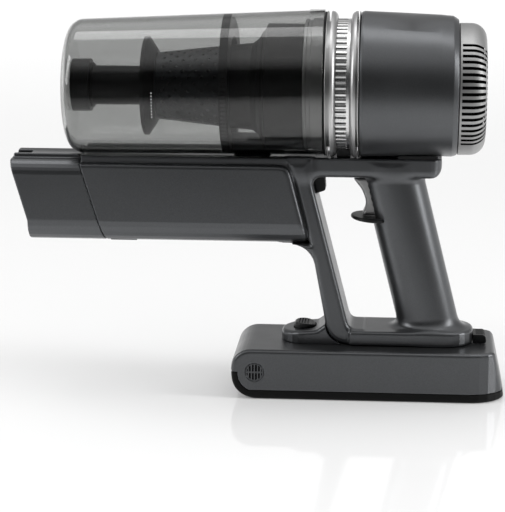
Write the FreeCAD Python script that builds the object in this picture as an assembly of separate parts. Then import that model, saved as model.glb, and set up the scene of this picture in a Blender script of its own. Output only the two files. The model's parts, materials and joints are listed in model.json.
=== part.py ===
import FreeCAD, Part
import math
import os

# Cordless handheld vacuum cleaner. Millimetres, +Z up, +X towards the motor exhaust,
# -X towards the intake mouth. The machine is symmetric about Y = 0. The origin is the
# centre of the rest face under the battery pack.

V = FreeCAD.Vector
UP = V(0, 0, 1)
ALONG = V(1, 0, 0)
ACROSS = V(0, 1, 0)

# ---- driving dimensions -------------------------------------------------------------
WALL = 2.5                 # moulded casing wall
GAP = 0.4                  # clearance between moving pieces
FIT = 0.05                 # radial clearance of pins and bearings

# battery pack
PACK_FRONT, PACK_REAR, PACK_HALF = -97.5, 100.5, 39.0
PACK_TOP = 36.5
PAD_TOP = 6.5              # rubber pad on the underside
NOSE_TOP_R, NOSE_R = 15.6, 19.2
NOSE_X = PACK_FRONT + NOSE_R
REAR_LEAN = 8.0            # the rear face leans in by this much at the top
LID_BOTTOM = 33.0
CELL_R, CELL_LENGTH, CELL_COUNT, CELL_PITCH = 9.2, 65.0, 7, 19.2
BUTTON_X, BUTTON_HALF_X, BUTTON_HALF_Y = -45.0, 7.7, 10.0

# frame loop: strut, foot bar, handle and bridge
BAR_BOTTOM, BAR_TOP = 36.9, 47.5
BAR_REAR, BAR_HALF = 77.2, 23.0
STRUT_HALF = 21.0
BRIDGE_BOTTOM, BRIDGE_TOP = 158.7, 173.0
BRIDGE_REAR, BRIDGE_HALF = 53.0, 19.0
LEAN = 0.2531              # sideways step of the handle for each step up
HANDLE_MID_X, HANDLE_MID_Z = 26.3, 123.1
HANDLE_DEPTH, HANDLE_WIDTH = 44.6, 36.0
TRIGGER_HALF = 8.0
TRIGGER_PIVOT = (4.6, 154.4)
SCREWS = ((20.0, 140.0), (32.0, 102.0), (43.0, 66.0))

# intake duct and collar
DUCT_TOP, DUCT_BOTTOM, DUCT_HALF = 168.0, 110.3, 25.0
DUCT_TOP_R, DUCT_BOTTOM_R = 3.0, 16.0
COLLAR_TOP, COLLAR_TOP_R = 169.7, 10.0
RAIL_TOP, RAIL_HALF = 173.2, 12.0     # rail along the top of the collar
BEAM_TOP, BEAM_HALF = 172.9, 20.0     # beam between the duct and the cup
MOUTH_TOP_X, MOUTH_BOTTOM_X = -257.6, -242.5
SEAM_TOP_X, SEAM_BOTTOM_X = -206.8, -189.0
DUCT_END_TOP_X, DUCT_END_BOTTOM_X = -56.5, -41.3
PORT_X0, PORT_X1, PORT_HALF = -97.0, -71.0, 13.0
FLAP_HINGE = (-102.0, 183.4)

# dust cup: a slightly tapered, slightly tilted clear cylinder
CUP_FRONT, CUP_REAR = -216.4, -31.9
CUP_FRONT_R, CUP_TAPER, CUP_TILT = 48.1, 0.0186, 0.0246
CUP_FRONT_Z = 220.4
CUP_WALL, CUP_NOSE_R = 2.2, 11.0
CYCLONE_Z = 221.4
HOOD_TOP = 185.6           # roof of the inlet inside the cup, below the skirt
SHROUD = ((-152.0, 23.9), (-129.0, 26.4), (-102.0, 29.4))

# motor head
HEAD_Z = 223.7
BEAD_R, RIB_R, RIB_COUNT = 52.0, 46.7, 64
RING_FRONT, RING_REAR = -22.8, -13.4
MOTOR_FRONT, MOTOR_REAR = -6.4, 62.3
GRILLE_REAR, GRILLE_R, GRILLE_Z = 82.0, 46.7, 221.2
MOTOR_SHAFT_Z = 221.0


# ---- helpers --------------------------------------------------------------------------
def on_side(y=0.0):
    return lambda x, z: V(x, y, z)


def on_plan(z=0.0):
    return lambda x, y: V(x, y, z)


def on_section(x=0.0):
    return lambda y, z: V(x, y, z)


def rounded_wire(corners, place):
    """Closed outline through (a, b, radius) corners, each rounded by a tangent arc."""
    stops = []
    for index, (a, b, radius) in enumerate(corners):
        here = place(a, b)
        if radius <= 0:
            stops.append((here, None, here))
            continue
        after_a, after_b, _ = corners[(index + 1) % len(corners)]
        back = (place(*corners[index - 1][:2]) - here).normalize()
        ahead = (place(after_a, after_b) - here).normalize()
        half = back.getAngle(ahead) / 2
        inward = (back + ahead).normalize()
        reach = radius / math.tan(half)
        middle = here + inward * (radius / math.sin(half) - radius)
        stops.append((here + back * reach, middle, here + ahead * reach))
    edges = []
    for index, (start, middle, end) in enumerate(stops):
        if middle is not None:
            edges.append(Part.Arc(start, middle, end).toShape())
        following = stops[(index + 1) % len(stops)][0]
        if (following - end).Length > 1e-6:
            edges.append(Part.LineSegment(end, following).toShape())
    return Part.Wire(edges)


def side_prism(corners, y0, y1):
    return Part.Face(rounded_wire(corners, on_side(y0))).extrude(ACROSS * (y1 - y0))


def plan_prism(corners, z0, z1):
    return Part.Face(rounded_wire(corners, on_plan(z0))).extrude(UP * (z1 - z0))


def section_prism(corners, x0, x1):
    return Part.Face(rounded_wire(corners, on_section(x0))).extrude(ALONG * (x1 - x0))


def block(x0, x1, y0, y1, z0, z1):
    return Part.makeBox(x1 - x0, y1 - y0, z1 - z0, V(x0, y0, z0))


def rod_x(x0, x1, radius, z):
    return Part.makeCylinder(radius, x1 - x0, V(x0, 0, z), ALONG)


def rod_y(y0, y1, radius, x, z):
    low, high = min(y0, y1), max(y0, y1)
    return Part.makeCylinder(radius, high - low, V(x, low, z), ACROSS)


def ring_x(x0, x1, outer, inner, z):
    return rod_x(x0, x1, outer, z).cut(rod_x(x0 - 1, x1 + 1, inner, z))


def turned(profile, z):
    """Solid of revolution of an (x, radius) polygon about the X line at height z."""
    points = [V(x, 0, z + radius) for x, radius in profile]
    face = Part.Face(Part.makePolygon(points + [points[0]]))
    return face.revolve(V(0, 0, z), ALONG, 360)


def group(shapes):
    return Part.makeCompound(shapes)


def save(name, shape):
    shape.exportStep("parts/%s.step" % name)


# ---- battery pack -----------------------------------------------------------------------
def pack_outline():
    """The whole pack: rounded nose, leaning rear, corners rounded in plan."""
    rear_top = PACK_REAR - REAR_LEAN
    side = side_prism([(PACK_FRONT, 0, NOSE_R), (PACK_REAR, 0, 0), (rear_top, PACK_TOP, 3),
                       (PACK_FRONT, PACK_TOP, NOSE_TOP_R)], -PACK_HALF, PACK_HALF)
    plan = plan_prism([(PACK_FRONT, -PACK_HALF, 5), (PACK_REAR, -PACK_HALF, 26),
                       (PACK_REAR, PACK_HALF, 26), (PACK_FRONT, PACK_HALF, 5)], -1, PACK_TOP + 1)
    return side.common(plan)


def pad_region():
    """Where the rubber pad lies: the underside, and a band round the lower nose."""
    slab = block(PACK_FRONT - 1, PACK_REAR + 1, -50, 50, -1, PAD_TOP)
    band = block(PACK_FRONT - 1, NOSE_X, -50, 50, -1, NOSE_R + 0.6)
    core = rod_y(-50, 50, NOSE_R - 5.5, NOSE_X, NOSE_R)
    return slab.fuse(band.cut(core).cut(block(NOSE_X - 0.01, NOSE_X + 30, -50, 50, PAD_TOP, 60)))


def make_battery():
    whole, pad = pack_outline(), pad_region()
    save("foot_pad", whole.common(pad))
    body = whole.cut(pad)
    room = block(-80, 81, -PACK_HALF + WALL, PACK_HALF - WALL, PAD_TOP + 2.0, LID_BOTTOM + 1)
    above = block(PACK_FRONT - 1, PACK_REAR + 1, -50, 50, LID_BOTTOM, 60)
    vents = [rod_y(side * 30, side * 50, 6.6, -79.5, 19.9) for side in (-1, 1)]
    save("battery_case", body.cut(above).cut(room).cut(group(vents)))
    lid = body.common(above)

    slats = []
    for side in (-1, 1):
        y_in, y_out = side * (PACK_HALF - 2.4), side * (PACK_HALF - 0.4)
        low, high = min(y_in, y_out), max(y_in, y_out)
        disc = rod_y(low, high, 6.55, -79.5, 19.9)
        gaps = []
        for column in range(-2, 4):
            x = -79.5 + (column - 0.5) * 2.2
            gaps.append(block(x - 0.65, x + 0.65, low - 1, high + 1, 20.5, 25.4))
            gaps.append(block(x - 0.65, x + 0.65, low - 1, high + 1, 14.4, 19.3))
        slats.append(disc.cut(group(gaps)))
    save("side_vents", group(slats))

    cells = []
    for number in range(CELL_COUNT):
        x = -66.0 + number * CELL_PITCH
        cells.append(rod_y(-CELL_LENGTH / 2, CELL_LENGTH / 2, CELL_R, x, 20.6))
    save("battery_cells", group(cells))

    plates = []
    for y in (-22.0, 20.0):
        plate = block(-77, 61, y, y + 2, PAD_TOP + 2.05, 32.4)
        holes = [rod_y(y - 1, y + 3, CELL_R + FIT, -66.0 + n * CELL_PITCH, 20.6)
                 for n in range(CELL_COUNT)]
        plates.append(plate.cut(group(holes)))
    save("cell_carrier", group(plates))
    save("battery_board", block(64, 65.6, -30, 30, PAD_TOP + 2.05, 31.0))

    stem = block(-10, 48, -6, 6, PACK_TOP, 39.3)
    flange = block(-10, 48, -10, 10, 39.3, 41.6)
    save("battery_rail", stem.fuse(flange).removeSplitter())
    blades = [block(52, 64, y - 0.8, y + 0.8, PACK_TOP, 41.0) for y in (-6, 0, 6)]
    save("battery_contacts", group(blades))

    save("battery_lid", lid.cut(plan_prism(button_outline(GAP), LID_BOTTOM - 1, 60)))


def button_outline(margin):
    half_x, half_y = BUTTON_HALF_X + margin, BUTTON_HALF_Y + margin
    return [(BUTTON_X - half_x, -half_y, half_x - 0.1), (BUTTON_X + half_x, -half_y, half_x - 0.1),
            (BUTTON_X + half_x, half_y, half_x - 0.1), (BUTTON_X - half_x, half_y, half_x - 0.1)]


def make_release():
    side = side_prism([(-63, PACK_TOP, 0), (-14, PACK_TOP, 0), (-14, 51, 0), (-30, 51, 0),
                       (-36, 46.6, 6), (-63, 44.0, 3)], -19, 19)
    plan = plan_prism([(-63, -19, 18.9), (-10, -19, 0), (-10, 19, 0), (-63, 19, 18.9)], 30, 60)
    pod = side.common(plan)
    clear = Part.Face(strut_wire(0)).makeOffset2D(GAP + 0.2)
    pod = pod.cut(clear.translated(V(0, -40, 0)).extrude(ACROSS * 80))
    pod = pod.cut(block(-30, 0, -10.6, 10.6, PACK_TOP - 1, 42.2))
    pod = pod.cut(plan_prism(button_outline(GAP), PACK_TOP - 1, 60))
    save("release_pod", max(pod.Solids, key=lambda solid: solid.Volume))

    button = plan_prism(button_outline(0), PACK_TOP + 0.5, 60)
    crown = rod_y(-30, 30, 40.0, BUTTON_X - 4.5, 9.4)
    button = button.common(crown)
    ribs = [block(BUTTON_X + x - 0.4, BUTTON_X + x + 0.4, -7, 7, 48.2, 60) for x in (-4, -2, 0, 2, 4)]
    save("release_button", button.cut(group(ribs)))


# ---- frame loop --------------------------------------------------------------------------
def strut_front(z):
    return -36.6 + (90.4 - z) * 0.187


def strut_rear(z):
    return -36.6 + (142.3 - z) * 0.2573


def strut_wire(y):
    """Strut outline: web under the duct, front, foot, loop corner and rear."""
    return rounded_wire([
        (DUCT_END_TOP_X, DUCT_TOP, 0), (DUCT_END_BOTTOM_X, DUCT_BOTTOM, 0),
        (-64, DUCT_BOTTOM, 0), (strut_front(DUCT_BOTTOM) - 0.01, DUCT_BOTTOM - 0.5, 18),
        (strut_front(BAR_BOTTOM), BAR_BOTTOM, 16), (-3, BAR_BOTTOM, 0), (-3, BAR_TOP, 0),
        (strut_rear(BAR_TOP), BAR_TOP, 8), (strut_rear(BRIDGE_BOTTOM), BRIDGE_BOTTOM, 0),
        (strut_rear(BRIDGE_BOTTOM), DUCT_TOP, 0)], on_side(y))


def rail_slot():
    """T slot for the pack's rail, open at the front, and the contact pocket behind it."""
    stem = block(-60, 48 + GAP, -6 - GAP, 6 + GAP, BAR_BOTTOM - 1, 39.5)
    flange = block(-60, 48 + GAP, -10 - GAP, 10 + GAP, 38.9, 42.0)
    pocket = block(-60, 65, -7.2, 7.2, BAR_BOTTOM - 1, 41.6)
    return stem.fuse([flange, pocket])


def make_loop():
    slot = rail_slot()
    strut = Part.Face(strut_wire(-STRUT_HALF)).extrude(ACROSS * (2 * STRUT_HALF)).cut(lever_top_room())
    lever_room = block(-60, -20, -7.4, 7.4, 144.0, BRIDGE_BOTTOM + 1).cut(
        side_prism([(-80, 100, 0), (strut_rear(100) - 3.4, 100, 0), (strut_rear(160) - 3.4, 160, 0),
                    (-80, 160, 0)], -10, 10))
    save("strut", strut.cut(slot).cut(lever_room))

    bar = plan_prism([(-3, -BAR_HALF, 0), (BAR_REAR, -BAR_HALF, 20), (BAR_REAR, BAR_HALF, 20),
                      (-3, BAR_HALF, 0)], BAR_BOTTOM, BAR_TOP)
    saddle = side_prism([(44, BAR_TOP - 1, 0), (76, BAR_TOP - 1, 0), (72, 49.6, 6), (66, 51.6, 0),
                         (44, 51.6, 0)], -BAR_HALF + 3, BAR_HALF - 3)
    plan = plan_prism([(40, -BAR_HALF, 0), (BAR_REAR, -BAR_HALF, 20), (BAR_REAR, BAR_HALF, 20),
                       (40, BAR_HALF, 0)], BAR_BOTTOM, 60)
    bar = bar.fuse(saddle.common(plan)).removeSplitter()
    save("foot_bar", bar.cut(slot).cut(handle_solid(0)))
    socket = side_prism([(BAR_REAR + FIT, BAR_BOTTOM + 0.4, 0), (87.0, BAR_BOTTOM + 0.4, 1.5),
                          (86.0, 43.4, 2.5),
                         (BAR_REAR + FIT, 43.4, 0)], -9, 9)
    grooves = [block(BAR_REAR + 2, 90, y - 0.7, y + 0.7, 38.5, 50) for y in range(-6, 9, 3)]
    save("charge_socket", socket.cut(group(grooves)).fuse(
        block(BAR_REAR + FIT, 84.5, -9, 9, 38.5, 42.2)).removeSplitter())

    bridge = side_prism([(strut_rear(BRIDGE_BOTTOM), BRIDGE_BOTTOM, 0), (BRIDGE_REAR, BRIDGE_BOTTOM, 9),
                         (BRIDGE_REAR, BRIDGE_TOP, 2), (strut_rear(BRIDGE_BOTTOM), BRIDGE_TOP, 0)],
                        -BRIDGE_HALF, BRIDGE_HALF)
    plan = plan_prism([(-50, -BRIDGE_HALF, 0), (BRIDGE_REAR, -BRIDGE_HALF, 12),
                       (BRIDGE_REAR, BRIDGE_HALF, 12), (-50, BRIDGE_HALF, 0)], 150, 180)
    bridge = bridge.common(plan).cut(lever_top_room()).cut(trigger_room())
    save("bridge", bridge.cut(rod_x(-60, 70, BEAD_R + 0.5, HEAD_Z)))

    wedges = block(21, 49, -18, 18, BRIDGE_TOP, 182).cut(rod_x(0, 70, BEAD_R, HEAD_Z + 0.4))
    nest = rod_x(-30, 60, BEAD_R + 0.45, HEAD_Z)
    neck = block(RING_FRONT + 0.1, RING_REAR - 0.1, -14, 14, 170, 180).common(nest).cut(rod_x(-30, 0, RIB_R + GAP, HEAD_Z))
    pad = block(-6.4, 20.8, -11, 11, 170, 176).common(nest).cut(housing_loft(-FIT, MOTOR_REAR))
    save("motor_cradle", group(wedges.Solids + neck.Solids + pad.Solids))


def handle_section(z, inset):
    """Oval section of the grip; it swells where it meets the foot bar and the bridge."""
    low_swell = max(0.0, 1 - (z - BAR_TOP) / 12.0) ** 2
    high_swell = max(0.0, 1 - (BRIDGE_BOTTOM - z) / 10.0) ** 2
    depth = HANDLE_DEPTH / 2 + 2.6 * low_swell + 1.5 * high_swell - inset
    width = HANDLE_WIDTH / 2 + 2.0 * low_swell + 0.8 * high_swell - inset
    x = HANDLE_MID_X + LEAN * (HANDLE_MID_Z - z) + 1.2 * low_swell + 1.2 * high_swell
    oval = Part.Ellipse(V(x, 0, z), depth, width)
    return Part.Wire([oval.toShape()])


def handle_solid(inset):
    heights = [BAR_TOP, 51.0, 56.0, 62.0, 80.0, 105.0, 130.0, 146.0, 152.0, BRIDGE_BOTTOM]
    return Part.makeLoft([handle_section(z, inset) for z in heights], True, False)


def trigger_room():
    """Pocket for the trigger in the front of the grip, open upwards into the bridge."""
    return side_prism([(-14, 127.5, 0), (16, 127.5, 0), (13, 160.5, 0), (-18, 160.5, 0)],
                      -TRIGGER_HALF - GAP, TRIGGER_HALF + GAP)


def make_handle():
    shell = handle_solid(0).cut(handle_solid(WALL))
    bosses = [rod_y(-HANDLE_WIDTH / 2 + 1, HANDLE_WIDTH / 2 - 1, 3.6, x, z) for x, z in SCREWS]
    shell = shell.fuse(bosses)
    drill = [rod_y(-10, 30, 1.5, x, z) for x, z in SCREWS]
    heads = [rod_y(HANDLE_WIDTH / 2 - 5, 30, 2.9, x, z) for x, z in SCREWS]
    pivot = rod_y(-12, 12, 2.0, *TRIGGER_PIVOT)
    ears = rod_y(-12, 12, 4.2, *TRIGGER_PIVOT)
    shell = shell.fuse(ears).cut(trigger_room()).cut(pivot).cut(group(drill + heads))
    shell = shell.cut(guard_solid(0.05))
    for name, y0, y1 in (("handle_left", 0, 40), ("handle_right", -40, 0)):
        half = shell.common(block(-60, 120, y0, y1, 30, 200))
        save(name, max(half.Solids, key=lambda solid: solid.Volume))
    screws = []
    for x, z in SCREWS:
        shank = rod_y(-8, HANDLE_WIDTH / 2 - 5, 1.45, x, z)
        head = rod_y(HANDLE_WIDTH / 2 - 5, HANDLE_WIDTH / 2 - 3, 2.7, x, z)
        screws.append(shank.fuse(head).removeSplitter())
    save("handle_screws", group(screws))


def guard_solid(margin):
    """Flat oval plate round the front of the grip, just under the trigger."""
    plate = Part.makeCylinder(1.0, 2.6 + 2 * margin, V(0, 0, -1.3 - margin))
    stretch = FreeCAD.Matrix()
    stretch.scale(15.2 + margin, 17.6 + margin, 1)
    plate = plate.transformGeometry(stretch)
    plate.rotate(V(0, 0, 0), ACROSS, -4.5)
    plate.translate(V(2.6, 0, 127.6))
    return plate


def make_trigger():
    pivot_x, pivot_z = TRIGGER_PIVOT
    blade = side_prism([(-11.4, 157.6, 0), (-4.8, 149.0, 12), (0.4, 137.0, 12), (-5.0, 130.2, 0),
                        (7.6, 130.2, 2), (5.6, 147.0, 0), (pivot_x + 4, pivot_z - 3, 0),
                        (pivot_x + 4, 157.6, 3)], -TRIGGER_HALF, TRIGGER_HALF)
    trigger = blade.cut(rod_y(-20, 20, 2.0, pivot_x, pivot_z))
    save("trigger", trigger)
    save("trigger_pin", rod_y(-11.9, 11.9, 2.0 - FIT, pivot_x, pivot_z))
    save("trigger_guard", guard_solid(0))
    save("trigger_switch", block(12.3, 16.2, -4, 4, 130.5, 136.4))


def lever_top_room():
    return block(-50, -29.8, -7.4, 7.4, BRIDGE_BOTTOM - 1, 161.3 + GAP)


def make_lever():
    lever = side_prism([(strut_rear(145.5) + 0.4, 145.5, 0), (-30.6, 147.8, 2), (-31.6, 161.2, 0),
                        (strut_rear(161.2) + 0.4, 161.2, 0)], -7, 7)
    cuts = []
    for z in range(149, 160, 2):
        cuts.append(block(-32.0, -28, -5.5, 5.5, z - 0.45, z + 0.45))
    save("cup_release_lever", lever.cut(group(cuts)))


# ---- intake duct -------------------------------------------------------------------------
def duct_section(inset, x0, x1, top=DUCT_TOP, top_r=DUCT_TOP_R):
    low, high = DUCT_BOTTOM + inset, top - inset
    half, bend = DUCT_HALF - inset, max(top_r - inset, 0.5)
    return section_prism([(-half, low, DUCT_BOTTOM_R - inset), (half, low, DUCT_BOTTOM_R - inset),
                          (half, high, bend), (-half, high, bend)], x0, x1)


def slanted(front_top, front_bottom, rear_top, rear_bottom):
    """Slab between two slanted planes, each given by its X at the duct's top and bottom."""
    def reach(top, bottom, z):
        return bottom + (top - bottom) * (z - DUCT_BOTTOM) / (DUCT_TOP - DUCT_BOTTOM)
    low, high = DUCT_BOTTOM - 10, DUCT_TOP + 10
    return side_prism([(reach(front_top, front_bottom, low), low, 0),
                       (reach(rear_top, rear_bottom, low), low, 0),
                       (reach(rear_top, rear_bottom, high), high, 0),
                       (reach(front_top, front_bottom, high), high, 0)], -60, 60)


def cup_trough():
    """Shallow groove along the duct's top that the cup slides over."""
    return rod_x(-270, 0, 53.0, 225.0)


def make_intake():
    outside = duct_section(0, -270, -30)
    inside = duct_section(WALL, -270, -62)
    collar_span = slanted(MOUTH_TOP_X, MOUTH_BOTTOM_X, SEAM_TOP_X, SEAM_BOTTOM_X)
    duct_span = slanted(SEAM_TOP_X, SEAM_BOTTOM_X, DUCT_END_TOP_X, DUCT_END_BOTTOM_X)
    catch = block(-256.0, -245, -6, 6, COLLAR_TOP - WALL - 1, RAIL_TOP + 1)
    port = block(PORT_X0, PORT_X1, -PORT_HALF, PORT_HALF, DUCT_TOP - WALL - 1, 180)
    panel_hole = block(-190 - GAP + 2, -167 + GAP, -13 - GAP, 13 + GAP,
                       DUCT_BOTTOM - 1, DUCT_BOTTOM + WALL + 1)
    collar = duct_section(0, -270, -180, COLLAR_TOP, COLLAR_TOP_R).common(collar_span)
    collar = collar.cut(duct_section(WALL, -275, -175, COLLAR_TOP, COLLAR_TOP_R))
    rail = block(-256, -207.5, -RAIL_HALF, RAIL_HALF, COLLAR_TOP - 1, RAIL_TOP)
    rail = rail.cut(cup_trough())
    save("inlet_collar", collar.fuse(rail).cut(catch).removeSplitter())
    lip = block(-255.9, -245.1, -5.9, 5.9, COLLAR_TOP - WALL, COLLAR_TOP + 1.0)
    save("inlet_catch", lip.cut(block(-253, -248, -3.5, 3.5, 160, 180)))
    duct = outside.common(duct_span).cut(inside).cut(port).cut(panel_hole)
    save("intake_duct", duct)
    save("wand_release", block(-186, -167, -13, 13, DUCT_BOTTOM, DUCT_BOTTOM + WALL))

    beam = block(SEAM_TOP_X + 0.6, strut_rear(BRIDGE_BOTTOM), -BEAM_HALF, BEAM_HALF, DUCT_TOP, BEAM_TOP)
    beam = beam.cut(cup_trough())
    save("cup_saddle", beam.cut(block(PORT_X0, PORT_X1, -PORT_HALF, PORT_HALF, 160, 180)))


# ---- dust cup ----------------------------------------------------------------------------
def cup_place(shape):
    """Moves a shape built along X from 0 into the cup's slightly tilted line."""
    shape.rotate(V(0, 0, 0), ACROSS, -math.degrees(math.atan(CUP_TILT)))
    shape.translate(V(CUP_FRONT, 0, CUP_FRONT_Z))
    return shape


def cup_radius(distance, inset=0.0):
    return CUP_FRONT_R + CUP_TAPER * distance - inset


def cup_body(inset, start, end):
    """Closed cone with a rounded front edge; distances run along the cup's own line."""
    r = CUP_NOSE_R - inset / 2
    rim = cup_radius(start + r, inset)
    points = [V(start, 0, 0), V(start, 0, rim - r), V(start + r, 0, rim), V(end, 0, cup_radius(end, inset)),
              V(end, 0, 0)]
    turn = r * math.sqrt(0.5)
    middle = V(start + r - turn, 0, rim - r + turn)
    edges = [Part.LineSegment(points[0], points[1]).toShape(),
             Part.Arc(points[1], middle, points[2]).toShape(),
             Part.LineSegment(points[2], points[3]).toShape(),
             Part.LineSegment(points[3], points[4]).toShape(),
             Part.LineSegment(points[4], points[0]).toShape()]
    return cup_place(Part.Face(Part.Wire(edges)).revolve(V(0, 0, 0), ALONG, 360))


def make_cup():
    length = CUP_REAR - CUP_FRONT
    rear = block(CUP_REAR, 40, -80, 80, 100, 320)
    outer = cup_body(0, 0, length + 6).cut(rear)
    inner = cup_body(CUP_WALL, CUP_WALL, length + 8)
    port = block(PORT_X0 + 2, PORT_X1 - 2, -PORT_HALF + 2, PORT_HALF - 2, 168, 182)
    save("dust_cup", outer.cut(inner).cut(port))

    boss = turned([(CUP_FRONT, 0), (CUP_FRONT, 18.8), (-200.4, 18.8), (-200.4, 16.0), (-203.5, 16.0),
                   (-203.5, 0)], CYCLONE_Z)
    save("cup_boss", boss.common(inner))
    save("tube_seal", turned([(-203.4, 0), (-203.4, 15.9), (-198.4, 15.9), (-198.4, 12.0), (-200.6, 9.0),
                              (-200.6, 0)], CYCLONE_Z))
    guide = ring_x(-104, -98, 60, 36.0, CYCLONE_Z).common(cup_body(CUP_WALL, CUP_WALL, length + 8))
    guide = guide.cut(block(-110, -90, -PORT_HALF - 1, PORT_HALF + 1, 160, 196))
    save("cup_baffle", guide)

    hood = block(-101, -63, -PORT_HALF, PORT_HALF, 171, HOOD_TOP).common(inner)
    way = block(-102, -73, -PORT_HALF + 2, PORT_HALF - 2, 160, HOOD_TOP - 2)
    save("inlet_block", hood.cut(way))
    flap = block(-102.6, -101.4, -PORT_HALF + 2.5, PORT_HALF - 2.5, 177.2, HOOD_TOP - 2.2)
    knuckle = rod_y(-PORT_HALF + 2.5, PORT_HALF - 2.5, 0.8, *FLAP_HINGE)
    save("inlet_flap", flap.fuse(knuckle).removeSplitter())
    save("cup_tab", block(-43.0, -32.2, -4.5, 4.5, 274.0, 276.7).cut(cup_body(0, 0, length + 6)))
    save("cup_seal", ring_x(CUP_REAR + 0.1, CUP_REAR + 1.4, BEAD_R - 1.0, 47.6, HEAD_Z + 0.4))


# ---- cyclone and filter --------------------------------------------------------------------
def make_cyclone():
    z = CYCLONE_Z
    save("fine_dust_tube", ring_x(-198.2, -152.0, 14.0, 11.8, z))
    save("dust_skirt", turned([(-161.0, 34.6), (-161.0, 35.4), (-158.5, 35.4), (-152.2, 25.6),
                               (-152.2, 14.1), (-154.5, 14.1), (-154.5, 23.6)], z))
    outer = [SHROUD[0], SHROUD[1], SHROUD[2]]
    inner = [(x, r - 1.6) for x, r in reversed(outer)]
    shroud = turned(outer + inner, z)
    holes = []
    for row in range(9):
        x = -146.0 + row * 4.6
        for number in range(18):
            angle = math.radians(20 * (number + 0.5 * (row % 2)))
            outward = V(0, math.cos(angle), math.sin(angle))
            holes.append(Part.makeCylinder(1.3, 8, V(x, 0, z) + outward * 22, outward))
    save("cyclone_shroud", shroud.cut(group(holes)))
    flare = turned([(-102.0, 27.8), (-102.0, 29.4), (-84, 31.2), (-78, 36), (-74.5, 42), (-72.9, 45.2),
                    (-72.9, 43.5), (-76.5, 40), (-80, 34.0), (-85, 29.6)], z)
    notch = block(-110, -40, -PORT_HALF - 2, PORT_HALF + 2, 160, 191.5)
    save("cyclone_flare", flare.cut(notch))
    frame = turned([(-72.9, 45.2), (-46.0, 45.2), (-46.0, 20.0), (-48.5, 20.0), (-48.5, 43.5),
                    (-72.9, 43.5)], z)
    save("filter_frame", frame.cut(notch))
    folds = 48
    points = []
    for number in range(folds):
        for step, radius in ((0, 36.0), (0.5, 28.0)):
            angle = 2 * math.pi * (number + step) / folds
            points.append(V(-72, radius * math.cos(angle), z + radius * math.sin(angle)))
    pleats = Part.Face(Part.makePolygon(points + [points[0]])).extrude(ALONG * 23.4)
    pleats = pleats.cut(rod_x(-75, -40, 22, z))
    pleats = pleats.cut(block(-80, -40, -PORT_HALF - 2, PORT_HALF + 2, 160, 191.5))
    save("pleated_filter", pleats)
    save("filter_rim", turned([(-46.0, 46.4), (-43.6, 46.4), (-43.6, 45.4), (-40.8, 45.4), (-40.8, 47.0),
                               (-31.4, 47.0), (-31.4, 34.0), (-46.0, 34.0)], HEAD_Z))


# ---- motor head ----------------------------------------------------------------------------
def bead(x_flat, x_edge, x_low, low_r, inner):
    """Metal band: full radius from x_flat to x_edge, then rounded down to low_r at x_low."""
    flat, edge = V(x_flat, 0, HEAD_Z + BEAD_R), V(x_edge, 0, HEAD_Z + BEAD_R)
    low, low_in = V(x_low, 0, HEAD_Z + low_r), V(x_low, 0, HEAD_Z + inner)
    flat_in = V(x_flat, 0, HEAD_Z + inner)
    turn = math.sqrt(0.5)
    knee = V(x_edge + (x_low - x_edge) * turn, 0, HEAD_Z + low_r + (BEAD_R - low_r) * turn)
    edges = [Part.LineSegment(flat, edge).toShape(), Part.Arc(edge, knee, low).toShape(),
             Part.LineSegment(low, low_in).toShape(), Part.LineSegment(low_in, flat_in).toShape(),
             Part.LineSegment(flat_in, flat).toShape()]
    return Part.Face(Part.Wire(edges)).revolve(V(0, 0, HEAD_Z), ALONG, 360)


def ribbed_ring():
    ring = ring_x(RING_FRONT, RING_REAR, RIB_R, 42.4, HEAD_Z)
    gap_front, gap_rear, base = RING_FRONT + 1.0, RING_REAR - 2.4, HEAD_Z + RIB_R - 1.6
    gap_tool = block(gap_front, gap_rear, -1.05, 1.05, base, base + 3.6)
    gap_tool = gap_tool.fuse(Part.makeCylinder(1.05, 3.6, V(gap_rear, 0, base)))
    gaps = []
    for number in range(RIB_COUNT):
        tool = gap_tool.copy()
        tool.rotate(V(0, 0, HEAD_Z), ALONG, number * 360.0 / RIB_COUNT)
        gaps.append(tool)
    return ring.cut(group(gaps))


def circle_at(x, z, radius):
    return Part.Wire([Part.Circle(V(x, 0, z), ALONG, radius).toShape()])


def housing_loft(inset, x_last):
    stations = [(MOTOR_FRONT, 223.9, 52.0), (10.0, 223.8, 51.5), (30.0, 223.7, 50.8),
                (50.0, 223.5, 50.0), (57.5, 223.1, 49.6), (60.5, 222.8, 49.0), (x_last, 222.4, 47.6)]
    return Part.makeLoft([circle_at(x, z, r - inset) for x, z, r in stations], True, True)


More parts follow.
